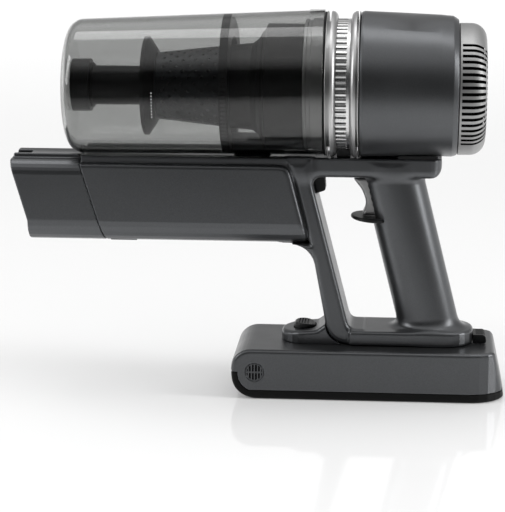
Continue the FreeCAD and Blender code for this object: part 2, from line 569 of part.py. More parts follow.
def make_head():
    save("front_bead", bead(-30.4, -28.3, RING_FRONT - 0.2, 47.4, 44.6))
    save("lock_ring", ribbed_ring())
    save("rear_bead", bead(-6.9, -9.4, RING_REAR + 0.2, 47.4, 44.6))
    save("head_core", ring_x(-31.0, -6.6, 42.05, 30.0, HEAD_Z))
    shell = housing_loft(0, MOTOR_REAR).cut(housing_loft(WALL, MOTOR_REAR + 0.01).fuse(
        rod_x(MOTOR_FRONT - 1, MOTOR_FRONT + 2, 40, HEAD_Z)))
    save("motor_housing", shell)

    z = MOTOR_SHAFT_Z
    save("motor_mount", turned([(4, 26.1), (4, 44.0), (8, 44.0), (8, 30.0), (40, 30.0), (40, 26.1)], z))
    save("fan_motor", turned([(6, 5.1), (6, 26.0), (44, 26.0), (44, 5.1), (41, 5.1), (41, 22), (9, 22),
                              (9, 5.1)], z))
    save("front_bearing", ring_x(5.9, 9.1, 5.0, 2.5 + FIT, z))
    save("rear_bearing", ring_x(40.9, 44.1, 5.0, 2.5 + FIT, z))
    shaft = rod_x(-5, 46, 2.5, z)
    save("rotor_shaft", shaft.fuse(rod_x(13, 37, 15, z)).removeSplitter())
    wheel = turned([(-3.0, 2.5), (-3.0, 8.0), (2.0, 24.0), (3.2, 24.0), (3.2, 2.5)], z)
    blades = []
    for number in range(9):
        blade = block(-3.2, 2.6, 7.0, 24.0, z - 0.6, z + 0.6)
        blade.rotate(V(0, 0, z), ALONG, number * 40.0)
        blades.append(blade)
    save("impeller", wheel.fuse(blades).cut(rod_x(-6, 6, 2.5, z)))
    save("control_board", ring_x(47.5, 49.1, 30, 6, z))
    save("exhaust_filter", ring_x(63.5, 76, 42.6, 30.0, GRILLE_Z))
    make_grille()


def make_grille():
    radius, front, rear, corner = GRILLE_R, MOTOR_REAR + 0.4, GRILLE_REAR, 11.0
    def cover(inset):
        r, end, bend = radius - inset, rear - inset, corner - inset
        turn = bend * math.sqrt(0.5)
        start, top = V(front - inset, 0, 0), V(front - inset, 0, r)
        knee, heel = V(end - bend, 0, r), V(end, 0, r - bend)
        middle = V(end - bend + turn, 0, r - bend + turn)
        edges = [Part.LineSegment(start, top).toShape(), Part.LineSegment(top, knee).toShape(),
                 Part.Arc(knee, middle, heel).toShape(), Part.LineSegment(heel, V(end, 0, 0)).toShape(),
                 Part.LineSegment(V(end, 0, 0), start).toShape()]
        solid = Part.Face(Part.Wire(edges)).revolve(V(0, 0, 0), ALONG, 360)
        solid.translate(V(0, 0, GRILLE_Z))
        return solid
    shell = cover(0).cut(cover(WALL))
    pitch = 360.0 / RIB_COUNT
    slots = []
    for side in (0, 180):
        for number in range(18):
            slot = block(64.2, 83, radius - 12, radius + 2, GRILLE_Z - 1.15, GRILLE_Z + 1.15)
            slot = slot.cut(block(76, 84, radius - 13, radius - 8.5, GRILLE_Z - 3, GRILLE_Z + 3))
            slot.rotate(V(0, 0, GRILLE_Z), ALONG, side + (number - 8.5) * pitch)
            slots.append(slot)
    shell = shell.cut(group(slots)).cut(rod_x(70, 90, 20.0, GRILLE_Z))
    save("rear_grille", shell)
    cap = ring_x(rear - WALL, rear - 0.2, 19.9, 8.4, GRILLE_Z)
    back = ring_x(rear - WALL - 3.6, rear - WALL - 2.2, 19.9, 3.0, GRILLE_Z)
    wall = ring_x(rear - WALL - 3.6, rear - WALL, 19.9, 18.0, GRILLE_Z)
    save("end_cap", cap.fuse([back, wall]).removeSplitter())
    save("mode_button", rod_x(rear - WALL - 0.9, rear, 8.0, GRILLE_Z))


def main():
    os.makedirs("parts", exist_ok=True)
    make_battery()
    make_release()
    make_loop()
    make_handle()
    make_trigger()
    make_lever()
    make_intake()
    make_cup()
    make_cyclone()
    make_head()


main()
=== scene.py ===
import json
import math

import bpy
import numpy as np
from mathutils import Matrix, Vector


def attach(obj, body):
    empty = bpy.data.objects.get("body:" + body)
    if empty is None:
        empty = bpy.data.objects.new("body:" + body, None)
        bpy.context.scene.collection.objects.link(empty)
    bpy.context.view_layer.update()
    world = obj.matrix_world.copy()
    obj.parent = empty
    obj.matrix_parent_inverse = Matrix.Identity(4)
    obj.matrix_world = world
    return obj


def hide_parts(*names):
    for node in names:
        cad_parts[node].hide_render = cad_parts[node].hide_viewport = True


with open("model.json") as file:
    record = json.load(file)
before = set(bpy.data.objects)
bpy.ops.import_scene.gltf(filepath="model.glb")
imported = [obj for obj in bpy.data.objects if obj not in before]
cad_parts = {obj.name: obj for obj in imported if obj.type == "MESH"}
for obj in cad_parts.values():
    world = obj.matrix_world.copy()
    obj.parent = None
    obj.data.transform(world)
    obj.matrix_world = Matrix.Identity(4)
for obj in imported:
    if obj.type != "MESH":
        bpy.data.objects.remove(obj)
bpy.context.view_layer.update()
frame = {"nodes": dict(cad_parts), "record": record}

# Looks of the handheld vacuum. Lengths in this file are millimetres in the CAD's own frame
# (+X to the motor exhaust, +Z up); MM turns them into metres where a mesh is made.
MM = 0.001

# ---- the design's dimensions -----------------------------------------------------------
PACK_FRONT, PACK_REAR, PACK_HALF, PACK_TOP = -97.5, 100.5, 39.0, 36.5
PAD_TOP, REAR_LEAN = 6.5, 8.0
NOSE_TOP_R, NOSE_R = 15.6, 19.2
NOSE_X = PACK_FRONT + NOSE_R
VENT_X, VENT_Z, VENT_R = -79.5, 19.9, 6.6
BUTTON_X = -45.0
BAR_BOTTOM, BAR_TOP, BAR_REAR, BAR_HALF = 36.9, 47.5, 77.2, 23.0
STRUT_HALF = 20.6
BRIDGE_BOTTOM, BRIDGE_TOP, BRIDGE_REAR, BRIDGE_HALF = 158.7, 173.0, 53.0, 19.5
LEAN, HANDLE_MID_X, HANDLE_MID_Z = 0.2531, 26.3, 123.1
HANDLE_DEPTH, HANDLE_WIDTH = 44.6, 36.0
DUCT_TOP, DUCT_BOTTOM, DUCT_HALF, DUCT_WALL = 168.0, 110.3, 25.0, 2.5
COLLAR_TOP, RAIL_TOP, RAIL_HALF = 169.7, 173.2, 12.0
BEAM_TOP, BEAM_HALF = 172.9, 20.0
CUP_FRONT, CUP_REAR, CUP_FRONT_R = -216.4, -31.9, 48.1
CUP_TAPER, CUP_TILT, CUP_FRONT_Z, CUP_WALL = 0.0186, 0.0246, 220.4, 2.2
HEAD_Z, BEAD_R, RIB_R, RIB_COUNT = 223.7, 52.0, 46.7, 64
GRILLE_Z, GRILLE_R, GRILLE_FRONT, GRILLE_REAR = 221.2, 46.7, 62.7, 82.0
RING_FRONT, RING_LENGTH, GAP_END, GAP_DEPTH = -22.8, 9.4, -15.4, 2.8
SLOT_FRONT, SLOT_INNER_R, SLOT_WIDTH_R = 64.4, 36.0, 46.0
TROUGH_R, TROUGH_Z = 53.0, 225.0
DUCT_REAR_LOW, DUCT_REAR_HIGH = -28.1, -56.8
SCREW_HOLE_R, SCREW_HOLE_Y = 2.9, 13.0
FINE_TURN = 220


# ---- meshes ----------------------------------------------------------------------------
def make_piece(name, points, faces, body, slot, replaces=(), normals=None, sharp=None):
    """A mesh piece from points in millimetres. It rides on a CAD body."""
    mesh = bpy.data.meshes.new(name)
    metres = (np.asarray(points, float) * MM).tolist()
    mesh.from_pydata(metres, [], [list(map(int, face)) for face in faces])
    mesh.update()
    mesh.shade_smooth()
    if sharp is not None:
        mesh.set_sharp_from_angle(angle=math.radians(sharp))
    if normals is not None:
        mesh.normals_split_custom_set_from_vertices(normals.tolist())
    piece = bpy.data.objects.new(name, mesh)
    bpy.context.scene.collection.objects.link(piece)
    mesh.materials.append(MATERIALS[slot])
    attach(piece, body)
    if replaces:
        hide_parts(*replaces)
    return piece


def softened(corners, closed=True, steps=6):
    """Polyline through (a, b, radius) corners, each rounded by an arc."""
    count = len(corners)
    line = []
    for index, (a, b, radius) in enumerate(corners):
        here = np.array((a, b), float)
        if radius <= 0 or (not closed and index in (0, count - 1)):
            line.append(here)
            continue
        back = np.array(corners[index - 1][:2]) - here
        ahead = np.array(corners[(index + 1) % count][:2]) - here
        back, ahead = back / np.linalg.norm(back), ahead / np.linalg.norm(ahead)
        half = math.acos(max(-1.0, min(1.0, float(back @ ahead)))) / 2
        inward = (back + ahead) / np.linalg.norm(back + ahead)
        centre = here + inward * radius / math.sin(half)
        start = here + back * radius / math.tan(half) - centre
        end = here + ahead * radius / math.tan(half) - centre
        sweep = math.atan2(start[0] * end[1] - start[1] * end[0], float(start @ end))
        for step in range(steps + 1):
            turn = sweep * step / steps
            cos, sin = math.cos(turn), math.sin(turn)
            arm = (start[0] * cos - start[1] * sin, start[0] * sin + start[1] * cos)
            line.append(centre + np.array(arm))
    return np.array(line)


def lathe(name, profile, centre, body, slot, replaces=(), segments=160, closed=True, sharp=35):
    """Turns an (x, radius) outline round the X line whose height at x is centre(x)."""
    rows = len(profile)
    angles = np.arange(segments) * 2 * math.pi / segments
    points = np.zeros((rows, segments, 3))
    points[:, :, 0] = profile[:, 0:1]
    points[:, :, 1] = profile[:, 1:2] * np.sin(angles)
    heights = np.array([centre(x) for x in profile[:, 0]])
    points[:, :, 2] = profile[:, 1:2] * np.cos(angles) + heights[:, None]
    after = np.roll(profile, -1, axis=0)
    forward = np.sum(profile[:, 0] * after[:, 1] - after[:, 0] * profile[:, 1]) > 0
    faces = []
    for row in range(rows if closed else rows - 1):
        below = (row + 1) % rows
        for column in range(segments):
            beside = (column + 1) % segments
            face = (row * segments + column, row * segments + beside,
                    below * segments + beside, below * segments + column)
            faces.append(face if forward else face[::-1])
    return make_piece(name, points.reshape(-1, 3), faces, body, slot, replaces, sharp=sharp)


def skin(name, rows, angles, surface, body, slot, replaces=(), hole=None, sharp=None):
    """Grid over (row, angle); surface gives x, radius and centre height; hole drops faces."""
    row, angle = np.meshgrid(rows, angles, indexing="ij")
    x, radius, height = surface(row, angle)
    points = np.stack([x, radius * np.sin(angle), height + radius * np.cos(angle)], -1).reshape(-1, 3)
    across = len(angles)
    index = np.arange(len(rows) * across).reshape(len(rows), across)
    beside = np.roll(index, -1, axis=1)
    faces = np.stack([index[:-1], beside[:-1], beside[1:], index[1:]], -1).reshape(-1, 4)
    if hole is not None:
        middle = points[faces].mean(1)
        faces = faces[~hole(middle)]
    return make_piece(name, points, faces, body, slot, replaces, sharp=sharp)


# ---- solids from distance fields ---------------------------------------------------------
def outline_distance(a, b, outline):
    """Signed distance from points to a closed polyline, negative inside."""
    a, b = np.broadcast_arrays(np.asarray(a, float), np.asarray(b, float))
    nearest = np.full(a.shape, 1e9)
    inside = np.zeros(a.shape, bool)
    for (a0, b0), (a1, b1) in zip(outline, np.roll(outline, -1, axis=0)):
        da, db = a1 - a0, b1 - b0
        length = da * da + db * db
        if length < 1e-12:
            continue
        along = np.clip(((a - a0) * da + (b - b0) * db) / length, 0, 1)
        nearest = np.minimum(nearest, (a - a0 - along * da) ** 2 + (b - b0 - along * db) ** 2)
        if db != 0:
            crossing = ((b0 > b) != (b1 > b)) & (a < da * (b - b0) / db + a0)
            inside ^= crossing
    return np.where(inside, -1.0, 1.0) * np.sqrt(nearest)


def slab(flat, across, half, radius):
    """Extrusion of a flat distance over |across| < half, its edges rounded."""
    u, v = flat + radius, np.abs(across) - half + radius
    return np.minimum(np.maximum(u, v), 0) + np.hypot(np.maximum(u, 0), np.maximum(v, 0)) - radius


def join(a, b, blend):
    mix = np.clip(0.5 + 0.5 * (b - a) / blend, 0, 1)
    return b * (1 - mix) + a * mix - blend * mix * (1 - mix)


def keep(a, b, blend):
    return -join(-a, -b, blend)


def box_field(x, y, z, low, high, radius):
    outside, deepest = 0.0, -1e9
    for value, start, end in zip((x, y, z), low, high):
        reach = np.abs(value - (start + end) / 2) - (end - start) / 2 + radius
        outside = outside + np.maximum(reach, 0) ** 2
        deepest = np.maximum(deepest, reach)
    return np.minimum(deepest, 0) + np.sqrt(outside) - radius


def carve(name, field, low, high, step, body, slot, replaces=()):
    """Mesh of field(x, y, z) = 0: dual cells, then each point is moved onto the surface."""
    axes = [np.arange(start - 1.5 * step, end + 2.5 * step, step) for start, end in zip(low, high)]
    grid = np.meshgrid(*axes, indexing="ij", sparse=True)
    values = np.broadcast_to(field(*grid), [len(axis) for axis in axes]).astype(np.float32)
    inside = values < 0
    shape = [len(axis) - 1 for axis in axes]
    corners = {}
    for i in (0, 1):
        for j in (0, 1):
            for k in (0, 1):
                corners[i, j, k] = (slice(i, i + shape[0]), slice(j, j + shape[1]), slice(k, k + shape[2]))
    count = sum(inside[cut].astype(np.int8) for cut in corners.values())
    cells = np.argwhere((count > 0) & (count < 8))
    number = np.full(shape, -1, np.int64)
    number[tuple(cells.T)] = np.arange(len(cells))
    total, hits = np.zeros((len(cells), 3)), np.zeros(len(cells))
    for axis in range(3):
        for first in (0, 1):
            for second in (0, 1):
                start = [first, second]
                start.insert(axis, 0)
                end = list(start)
                end[axis] = 1
                v0 = values[tuple((cells + start).T)]
                v1 = values[tuple((cells + end).T)]
                cross = (v0 < 0) != (v1 < 0)
                share = np.where(cross, v0 / np.where(cross, v0 - v1, 1), 0)
                place = np.array(start, float) + share[:, None] * (np.array(end) - np.array(start))
                total += np.where(cross[:, None], place, 0)
                hits += cross
    points = (cells + total / hits[:, None]) * step + [axis[0] for axis in axes]

    faces = []
    for axis in range(3):
        u, v = (axis + 1) % 3, (axis + 2) % 3
        one = [slice(None)] * 3
        two = [slice(None)] * 3
        one[axis], two[axis] = slice(0, -1), slice(1, None)
        flips = inside[tuple(one)] != inside[tuple(two)]
        edges = np.argwhere(flips)
        limit = np.array(shape)
        good = np.all((edges[:, [u, v]] > 0) & (edges[:, [u, v]] < limit[[u, v]]), axis=1)
        edges = edges[good]
        ring = []
        for du, dv in ((-1, -1), (0, -1), (0, 0), (-1, 0)):
            cell = edges.copy()
            cell[:, u] += du
            cell[:, v] += dv
            ring.append(number[tuple(cell.T)])
        quads = np.stack(ring, -1)
        outward = inside[tuple(edges.T)]
        quads[~outward] = quads[~outward][:, ::-1]
        faces.append(quads)
    faces = np.concatenate(faces)

    def slope(place):
        reach = 0.08 * step
        parts = []
        for axis in range(3):
            ahead, behind = place.copy(), place.copy()
            ahead[:, axis] += reach
            behind[:, axis] -= reach
            parts.append((field(*ahead.T) - field(*behind.T)) / (2 * reach))
        return np.stack(parts, -1)

    for _ in range(3):
        direction = slope(points)
        size = np.maximum((direction ** 2).sum(1), 0.05)
        move = (field(*points.T) / size)[:, None] * direction
        length = np.maximum(np.linalg.norm(move, axis=1), 1e-9)
        points = points - move * np.minimum(1, 0.5 * step / length)[:, None]
    normals = slope(points)
    normals /= np.maximum(np.linalg.norm(normals, axis=1), 1e-9)[:, None]
    return make_piece(name, points, faces, body, slot, replaces, normals=normals)


# ---- camera, floor and light -----------------------------------------------------------
VIEW_AZIMUTH, VIEW_ELEVATION, VIEW_DISTANCE = math.radians(4.7), math.radians(12.5), 1.43
VIEW_TARGET = Vector((-0.084, 0.0, 0.097))
VIEW_LENS = 137.7
FLOOR_DARK_Y, FLOOR_WHITE_Y, FLOOR_GLOW = -1.0, -0.45, 0.16
FLOOR_DARK, FLOOR_WHITE, FLOOR_ROUGHNESS, FLOOR_SHINE = 0.10, 0.90, 0.05, 1.0
WORLD_STRENGTH = 1.12


def make_camera():
    back = Vector((math.sin(VIEW_AZIMUTH) * math.cos(VIEW_ELEVATION),
                   -math.cos(VIEW_AZIMUTH) * math.cos(VIEW_ELEVATION), math.sin(VIEW_ELEVATION)))
    camera = bpy.data.objects.new("camera", bpy.data.cameras.new("camera"))
    camera.data.lens = VIEW_LENS
    camera.location = VIEW_TARGET + back * VIEW_DISTANCE
    camera.rotation_euler = back.to_track_quat("Z", "Y").to_euler()
    bpy.context.scene.collection.objects.link(camera)
    bpy.context.scene.camera = camera


def area_light(name, place, target, width, height, power):
    light = bpy.data.lights.new(name, "AREA")
    light.shape = "RECTANGLE"
    light.size, light.size_y = width, height
    light.energy = power
    lamp = bpy.data.objects.new(name, light)
    lamp.location = place
    lamp.rotation_euler = (Vector(place) - Vector(target)).to_track_quat("Z", "Y").to_euler()
    bpy.context.scene.collection.objects.link(lamp)


def make_floor():
    """White under and behind the object, fading to dark well in front of it."""
    bpy.ops.mesh.primitive_plane_add(size=12.0, location=(0, 0, 0))
    floor = bpy.context.object
    floor.name = "floor"
    material, tree, shader = new_material("floor_white")
    place = add(tree, "ShaderNodeTexCoord")
    parts = add(tree, "ShaderNodeSeparateXYZ")
    tree.links.new(place.outputs["Object"], parts.inputs["Vector"])
    near = spread(tree, parts.outputs["Y"], FLOOR_DARK_Y, FLOOR_WHITE_Y, 0.0, 1.0)
    shade = ramp(tree, near, [(0.0, grey(FLOOR_DARK)), (1.0, grey(FLOOR_WHITE))])
    tree.links.new(shade, shader.inputs["Base Color"])
    tree.links.new(shade, shader.inputs["Emission Color"])
    shader.inputs["Emission Strength"].default_value = FLOOR_GLOW
    shader.inputs["Roughness"].default_value = FLOOR_ROUGHNESS
    shader.inputs["Specular IOR Level"].default_value = FLOOR_SHINE
    floor.data.materials.append(material)


def make_world():
    """Studio round the object: white behind and overhead, dark on the camera's side."""
    world = bpy.data.worlds.new("studio")
    bpy.context.scene.world = world
    world.use_nodes = True
    tree = world.node_tree
    place = add(tree, "ShaderNodeTexCoord")
    parts = add(tree, "ShaderNodeSeparateXYZ")
    tree.links.new(place.outputs["Generated"], parts.inputs["Vector"])
    depth = spread(tree, parts.outputs["Y"], -1.0, 1.0, 0.0, 1.0)
    around = ramp(tree, depth, [(0.0, grey(0.06)), (0.34, grey(0.08)),
                                (0.52, grey(0.55)), (0.66, grey(1.0))])
    low = ramp(tree, parts.outputs["Z"], [(0.10, grey(1.0)), (0.24, grey(0.38))])
    over = ramp(tree, parts.outputs["Z"], [(0.45, grey(0.0)), (0.75, grey(0.85))])
    band = add(tree, "ShaderNodeMix", data_type="RGBA", blend_type="MULTIPLY")
    band.inputs["Factor"].default_value = 1.0
    tree.links.new(around, band.inputs[6])
    tree.links.new(low, band.inputs[7])
    both = add(tree, "ShaderNodeMix", data_type="RGBA", blend_type="LIGHTEN")
    both.inputs["Factor"].default_value = 1.0
    tree.links.new(band.outputs[2], both.inputs[6])
    tree.links.new(over, both.inputs[7])
    sky = tree.nodes["Background"]
    tree.links.new(both.outputs[2], sky.inputs["Color"])
    sky.inputs["Strength"].default_value = WORLD_STRENGTH


def make_stage():
    bpy.context.scene.view_settings.view_transform = "Standard"
    make_floor()
    make_world()
    middle = (-0.07, 0.0, 0.15)
    area_light("top_softbox", (-0.05, 0.05, 1.25), middle, 1.3, 0.35, 4)
    area_light("left_softbox", (-1.3, -0.45, 0.75), middle, 0.35, 0.9, 7)
    area_light("right_softbox", (1.25, -0.25, 0.6), middle, 0.30, 0.9, 9)


# ---- materials -------------------------------------------------------------------------
def new_material(name):
    material = bpy.data.materials.new(name)
    material.use_nodes = True
    tree = material.node_tree
    return material, tree, tree.nodes["Principled BSDF"]


def add(tree, kind, **values):
    node = tree.nodes.new(kind)
    for key, value in values.items():
        setattr(node, key, value)
    return node


def noise(tree, scale, detail=3.0, stretch=(1, 1, 1)):
    """Noise in the object's own coordinates; scale is per metre."""
    place = add(tree, "ShaderNodeTexCoord")
    mapping = add(tree, "ShaderNodeMapping")
    mapping.inputs["Scale"].default_value = stretch
    source = add(tree, "ShaderNodeTexNoise")
    source.inputs["Scale"].default_value = scale
    source.inputs["Detail"].default_value = detail
    tree.links.new(place.outputs["Object"], mapping.inputs["Vector"])
    tree.links.new(mapping.outputs["Vector"], source.inputs["Vector"])
    return source.outputs["Fac"]


def ramp(tree, factor, stops):
    node = add(tree, "ShaderNodeValToRGB")
    band = node.color_ramp
    band.elements[0].position, band.elements[0].color = stops[0]
    band.elements[1].position, band.elements[1].color = stops[-1]
    for position, color in stops[1:-1]:
        element = band.elements.new(position)
        element.color = color
    tree.links.new(factor, node.inputs["Fac"])
    return node.outputs["Color"]


def grey(value, blue=0.0):
    return (value, value * (1 + 0.4 * blue), value * (1 + blue), 1)


def bump(tree, shader, height, strength, distance):
    node = add(tree, "ShaderNodeBump")
    node.inputs["Strength"].default_value = strength
    node.inputs["Distance"].default_value = distance
    tree.links.new(height, node.inputs["Height"])
    tree.links.new(node.outputs["Normal"], shader.inputs["Normal"])


def spread(tree, factor, from_low, from_high, to_low, to_high):
    node = add(tree, "ShaderNodeMapRange")
    node.inputs["From Min"].default_value = from_low
    node.inputs["From Max"].default_value = from_high
    node.inputs["To Min"].default_value = to_low
    node.inputs["To Max"].default_value = to_high
    tree.links.new(factor, node.inputs["Value"])
    return node.outputs["Result"]


def finish_material(name, color, variation, roughness, metallic=0.0, grain=2500.0, grain_depth=0.02,
                    blue=0.0, coat=0.0, stretch=(1, 1, 1), patch=35.0, shine=0.5):
    """Moulded, painted or plated surface: fine grain, faint patches, uneven gloss."""
    material, tree, shader = new_material(name)
    fine = noise(tree, grain, 2.0, stretch)
    broad = noise(tree, patch, 4.0)
    dark, light = grey(color * (1 - variation), blue), grey(color * (1 + variation), blue)
    tint = ramp(tree, fine, [(0.35, dark), (0.65, light)])
    tree.links.new(tint, shader.inputs["Base Color"])
    gloss = spread(tree, broad, 0.3, 0.7, roughness * 0.9, roughness * 1.1)
    tree.links.new(gloss, shader.inputs["Roughness"])
    shader.inputs["Metallic"].default_value = metallic
    shader.inputs["Specular IOR Level"].default_value = shine
    shader.inputs["Coat Weight"].default_value = coat
    shader.inputs["Coat Roughness"].default_value = 0.25
    bump(tree, shader, fine, grain_depth, 0.00005)
    return material


def smoked_material(name, tint, roughness):
    material, tree, shader = new_material(name)
    shader.inputs["Base Color"].default_value = tint
    shader.inputs["Transmission Weight"].default_value = 1.0
    shader.inputs["IOR"].default_value = 1.45
    flow = noise(tree, 18.0, 2.0, (0.3, 1, 1))
    gloss = spread(tree, flow, 0.3, 0.7, roughness, roughness * 2.0)
    tree.links.new(gloss, shader.inputs["Roughness"])
    bump(tree, shader, flow, 0.05, 0.0002)
    return material


MATERIALS = {}


def make_materials():
    MATERIALS.update({
        "graphite": finish_material("graphite_paint", 0.095, 0.10, 0.34, metallic=0.85, blue=0.08,
                                    coat=0.05),
        "dark_plastic": finish_material("black_plastic", 0.004, 0.15, 0.40, grain_depth=0.15,
                                        blue=0.25, shine=0.3),
        "rubber": finish_material("black_rubber", 0.003, 0.2, 0.55, grain_depth=0.3, shine=0.15),
        "chrome": finish_material("satin_chrome", 0.46, 0.02, 0.38, metallic=1.0, grain_depth=0.01,
                                  stretch=(4, 0.3, 0.3)),
        "bright_ribs": finish_material("bright_silver", 0.66, 0.03, 0.26, metallic=1.0, grain_depth=0.01),
        "silver_paint": finish_material("silver_paint", 0.34, 0.08, 0.48, metallic=0.9, coat=0.05),
        "perforated_steel": finish_material("dark_steel", 0.02, 0.1, 0.35, metallic=0.6, blue=0.3),
        "steel": finish_material("plain_steel", 0.5, 0.05, 0.3, metallic=1.0),
        "cell_wrap": finish_material("cell_wrap", 0.12, 0.1, 0.35, blue=0.8),
        "circuit_board": finish_material("circuit_board", 0.03, 0.2, 0.4, blue=-0.5),
        "brass_contacts": finish_material("brass", 0.55, 0.05, 0.3, metallic=1.0, blue=-0.5),
        "filter_media": finish_material("filter_media", 0.6, 0.08, 0.9, grain=1200.0, grain_depth=0.5),
        "smoked_clear": smoked_material("smoked_clear", (0.50, 0.505, 0.50, 1), 0.02),
        "print": finish_material("white_print", 0.8, 0.02, 0.5),
        # Near-black matte finish with no gloss: painted shade for the dark inside slots and vents.
        "shade_paint": finish_material("painted_shade_black", 0.002, 0.02, 1.0, shine=0.05),
    })


def dress_cad_nodes():
    """Every CAD node that still shows takes the finish of its own slot."""
    slots = {entry["node"]: entry["material_slot"] for entry in frame["record"]["subparts"]}
    for node, thing in frame["nodes"].items():
        thing.data.materials.clear()
        thing.data.materials.append(MATERIALS[slots[node]])


# ---- the grey shell: frame loop, handle, beam and duct -------------------------------------
def strut_front(z):
    return -36.6 + (90.4 - z) * 0.187


def strut_rear(z):
    return -36.6 + (142.3 - z) * 0.2573


def round_keep(a, b, radius):
    u, v = a + radius, b + radius
    return np.minimum(np.maximum(u, v), 0) + np.hypot(np.maximum(u, 0), np.maximum(v, 0)) - radius


def rectangle(a0, a1, b0, b1, radii):
    return softened([(a0, b0, radii[0]), (a1, b0, radii[1]), (a1, b1, radii[2]), (a0, b1, radii[3])])


STRUT_LINE = softened([
    (-56.5, 170, 0), (-41.3, DUCT_BOTTOM, 0), (-64, DUCT_BOTTOM, 0),
    (strut_front(DUCT_BOTTOM) - 0.01, DUCT_BOTTOM - 0.5, 18), (strut_front(BAR_BOTTOM), BAR_BOTTOM, 16),
    (-3, BAR_BOTTOM, 0), (-3, BAR_TOP, 0), (strut_rear(BAR_TOP), BAR_TOP, 8), (strut_rear(170), 170, 0)])
BRIDGE_LINE = rectangle(-60, BRIDGE_REAR, BRIDGE_BOTTOM, 200, (0, 9, 0, 0))
BRIDGE_PLAN = rectangle(-80, BRIDGE_REAR, -BRIDGE_HALF, BRIDGE_HALF, (0, 12, 12, 0))
BAR_PLAN = rectangle(-12, BAR_REAR, -BAR_HALF, BAR_HALF, (0, 20, 20, 0))
DUCT_SECTION = rectangle(-DUCT_HALF, DUCT_HALF, DUCT_BOTTOM, DUCT_TOP + 0.6, (16, 16, 3, 3))
DUCT_INSIDE = rectangle(-DUCT_HALF + DUCT_WALL, DUCT_HALF - DUCT_WALL, DUCT_BOTTOM + DUCT_WALL,
                        DUCT_TOP - DUCT_WALL, (13.5, 13.5, 1, 1))
DUCT_SIDE = softened([(-240, DUCT_TOP + 2, 0), (-240, 60, 0), (DUCT_REAR_LOW, 60, 0),
                      (DUCT_REAR_HIGH, DUCT_TOP + 2, 12)])
TRIGGER_ROOM = np.array([(-14, 127.5), (16, 127.5), (13, 160.5), (-18, 160.5)], float)
SCREWS = ((20.0, 140.0), (32.0, 102.0), (43.0, 66.0))


def seam_x(z):
    return -206.8 + (DUCT_TOP - z) * 0.3085


def grip(x, y, z):
    """Leaning oval column; the quotient keeps the oval's distance even."""
    u = (x - HANDLE_MID_X - LEAN * (HANDLE_MID_Z - z)) * 0.97
    p, q = HANDLE_DEPTH / 2 * 0.97, HANDLE_WIDTH / 2
    near = np.sqrt((u / p) ** 2 + (y / q) ** 2)
    spread_out = np.sqrt((u / p ** 2) ** 2 + (y / q ** 2) ** 2)
    return near * (near - 1) / np.maximum(spread_out, 1e-6)


def trough_field(y, z):
    """Round trough along the saddle and the collar's rail that the dust cup slides in."""
    return TROUGH_R - np.hypot(y, z - TROUGH_Z)


def shell_field(x, y, z):
    strut = slab(outline_distance(x, z, STRUT_LINE), y, STRUT_HALF, 4.0)
    bridge = slab(outline_distance(x, z, BRIDGE_LINE), y, BRIDGE_HALF, 6.0)
    bridge = keep(bridge, outline_distance(x, y, BRIDGE_PLAN), 3.0)
    bridge = keep(bridge, z - BRIDGE_TOP + 0 * x * y, 1.5)
    bar_middle, bar_half = (BAR_TOP + BAR_BOTTOM) / 2, (BAR_TOP - BAR_BOTTOM) / 2
    bar = slab(outline_distance(x, y, BAR_PLAN), z - bar_middle, bar_half, 2.2)
    column = keep(grip(x, y, z), np.maximum(z - 166, 41 - z) + 0 * x * y, 1.0)
    low_blend = np.interp(z, (44, 52, 90), (9, 9, 5))
    loop = join(join(strut, bar, 3.0), join(strut, bridge, 9.0), 0.5)
    loop = join(loop, column, low_blend)
    beam = box_field(x, y, z, (-206.2, -60, 160), (-40, 60, BEAM_TOP), 0.0)
    beam = round_keep(beam, np.abs(y) - BEAM_HALF + 0 * x * z, 1.5)
    loop = join(loop, beam, 0.5)
    duct = keep(outline_distance(y, z, DUCT_SECTION), outline_distance(x, z, DUCT_SIDE), 4.5)
    duct = keep(duct, seam_x(z) + 0.15 - x + 0 * y, 0.6)
    solid = join(loop, duct, 1.0)
    inside = np.maximum(outline_distance(y, z, DUCT_INSIDE), x + 62)
    solid = keep(solid, -inside, 0.3)
    trough = trough_field(y, z) + 0 * x
    nest = np.maximum(np.hypot(y, z - HEAD_Z) - BEAD_R - 0.5, -38 - x)
    solid = keep(keep(solid, trough, 0.5), -nest, 0.5)
    port = box_field(x, y, z, (-97, -13, 155), (-71, 13, 200), 1.0)
    lever = np.maximum(strut_rear(z) - 3.4 - x, np.maximum(x + 29.4, np.abs(y) - 7.4))
    lever = np.maximum(lever, np.maximum(144 - z, z - 161.7))
    room = np.maximum(outline_distance(x, z, TRIGGER_ROOM), np.abs(y) - 8.4)
    solid = keep(solid, -np.minimum(np.minimum(port, lever), room), 0.4)
    rail = np.minimum(box_field(x, y, z, (-60, -6.4, 20), (48.4, 6.4, 39.5), 0.2),
                      box_field(x, y, z, (-60, -10.4, 38.9), (48.4, 10.4, 42.0), 0.2))
    rail = np.minimum(rail, box_field(x, y, z, (-60, -7.2, 20), (65, 7.2, 41.6), 0.2))
    solid = keep(solid, -rail, 0.3)
    for screw_x, screw_z in SCREWS:
        hole = np.hypot(x - screw_x, z - screw_z) - SCREW_HOLE_R
        solid = keep(solid, -np.maximum(hole, SCREW_HOLE_Y - y), 0.3)
    return solid


COLLAR_SECTION = rectangle(-DUCT_HALF, DUCT_HALF, DUCT_BOTTOM, COLLAR_TOP, (16, 16, 10, 10))
COLLAR_INSIDE = rectangle(-DUCT_HALF + DUCT_WALL, DUCT_HALF - DUCT_WALL, DUCT_BOTTOM + DUCT_WALL,
                          COLLAR_TOP - DUCT_WALL, (13.5, 13.5, 7.5, 7.5))


